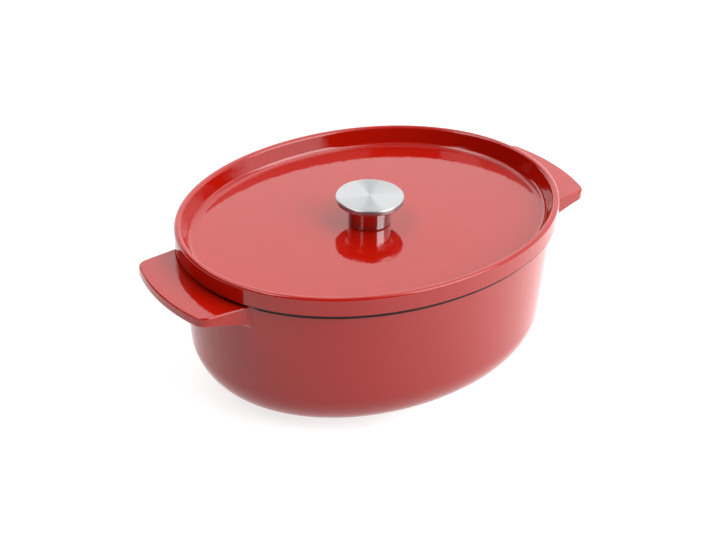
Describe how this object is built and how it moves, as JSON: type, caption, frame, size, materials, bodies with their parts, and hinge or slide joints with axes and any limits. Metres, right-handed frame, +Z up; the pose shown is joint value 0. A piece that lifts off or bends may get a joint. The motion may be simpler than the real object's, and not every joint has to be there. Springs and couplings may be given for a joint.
{
  "type": "dutch oven",
  "caption": "Oval enamelled cast iron dutch oven with flat side handles, and a recessed lid with a steel knob that lifts off.",
  "frame": {"origin": "centre of the pot's base, on the surface it stands on", "axes": "+X along the oval's length, +Y across it, +Z up through the knob"},
  "size_m": [0.356, 0.243, 0.1312],
  "materials": {
    "enamel": "glossy red vitreous enamel over cast iron",
    "stainless": "turned face with polished edge",
    "threaded_steel": "plain zinc-coloured steel"
  },
  "bodies": {
    "pot": {"pot": "enamel"},
    "lid": {"lid": "enamel", "knob_cap": "stainless", "knob_stem": "stainless", "knob_insert": "threaded_steel", "knob_screw": "threaded_steel", "lock_washer": "threaded_steel", "flat_washer": "threaded_steel"}
  },
  "joints": [
    {"name": "lid_lift", "type": "slide", "parent": "pot", "child": "lid", "axis": [0, 0, 1], "range_m": [0, 0.15]}
  ]
}
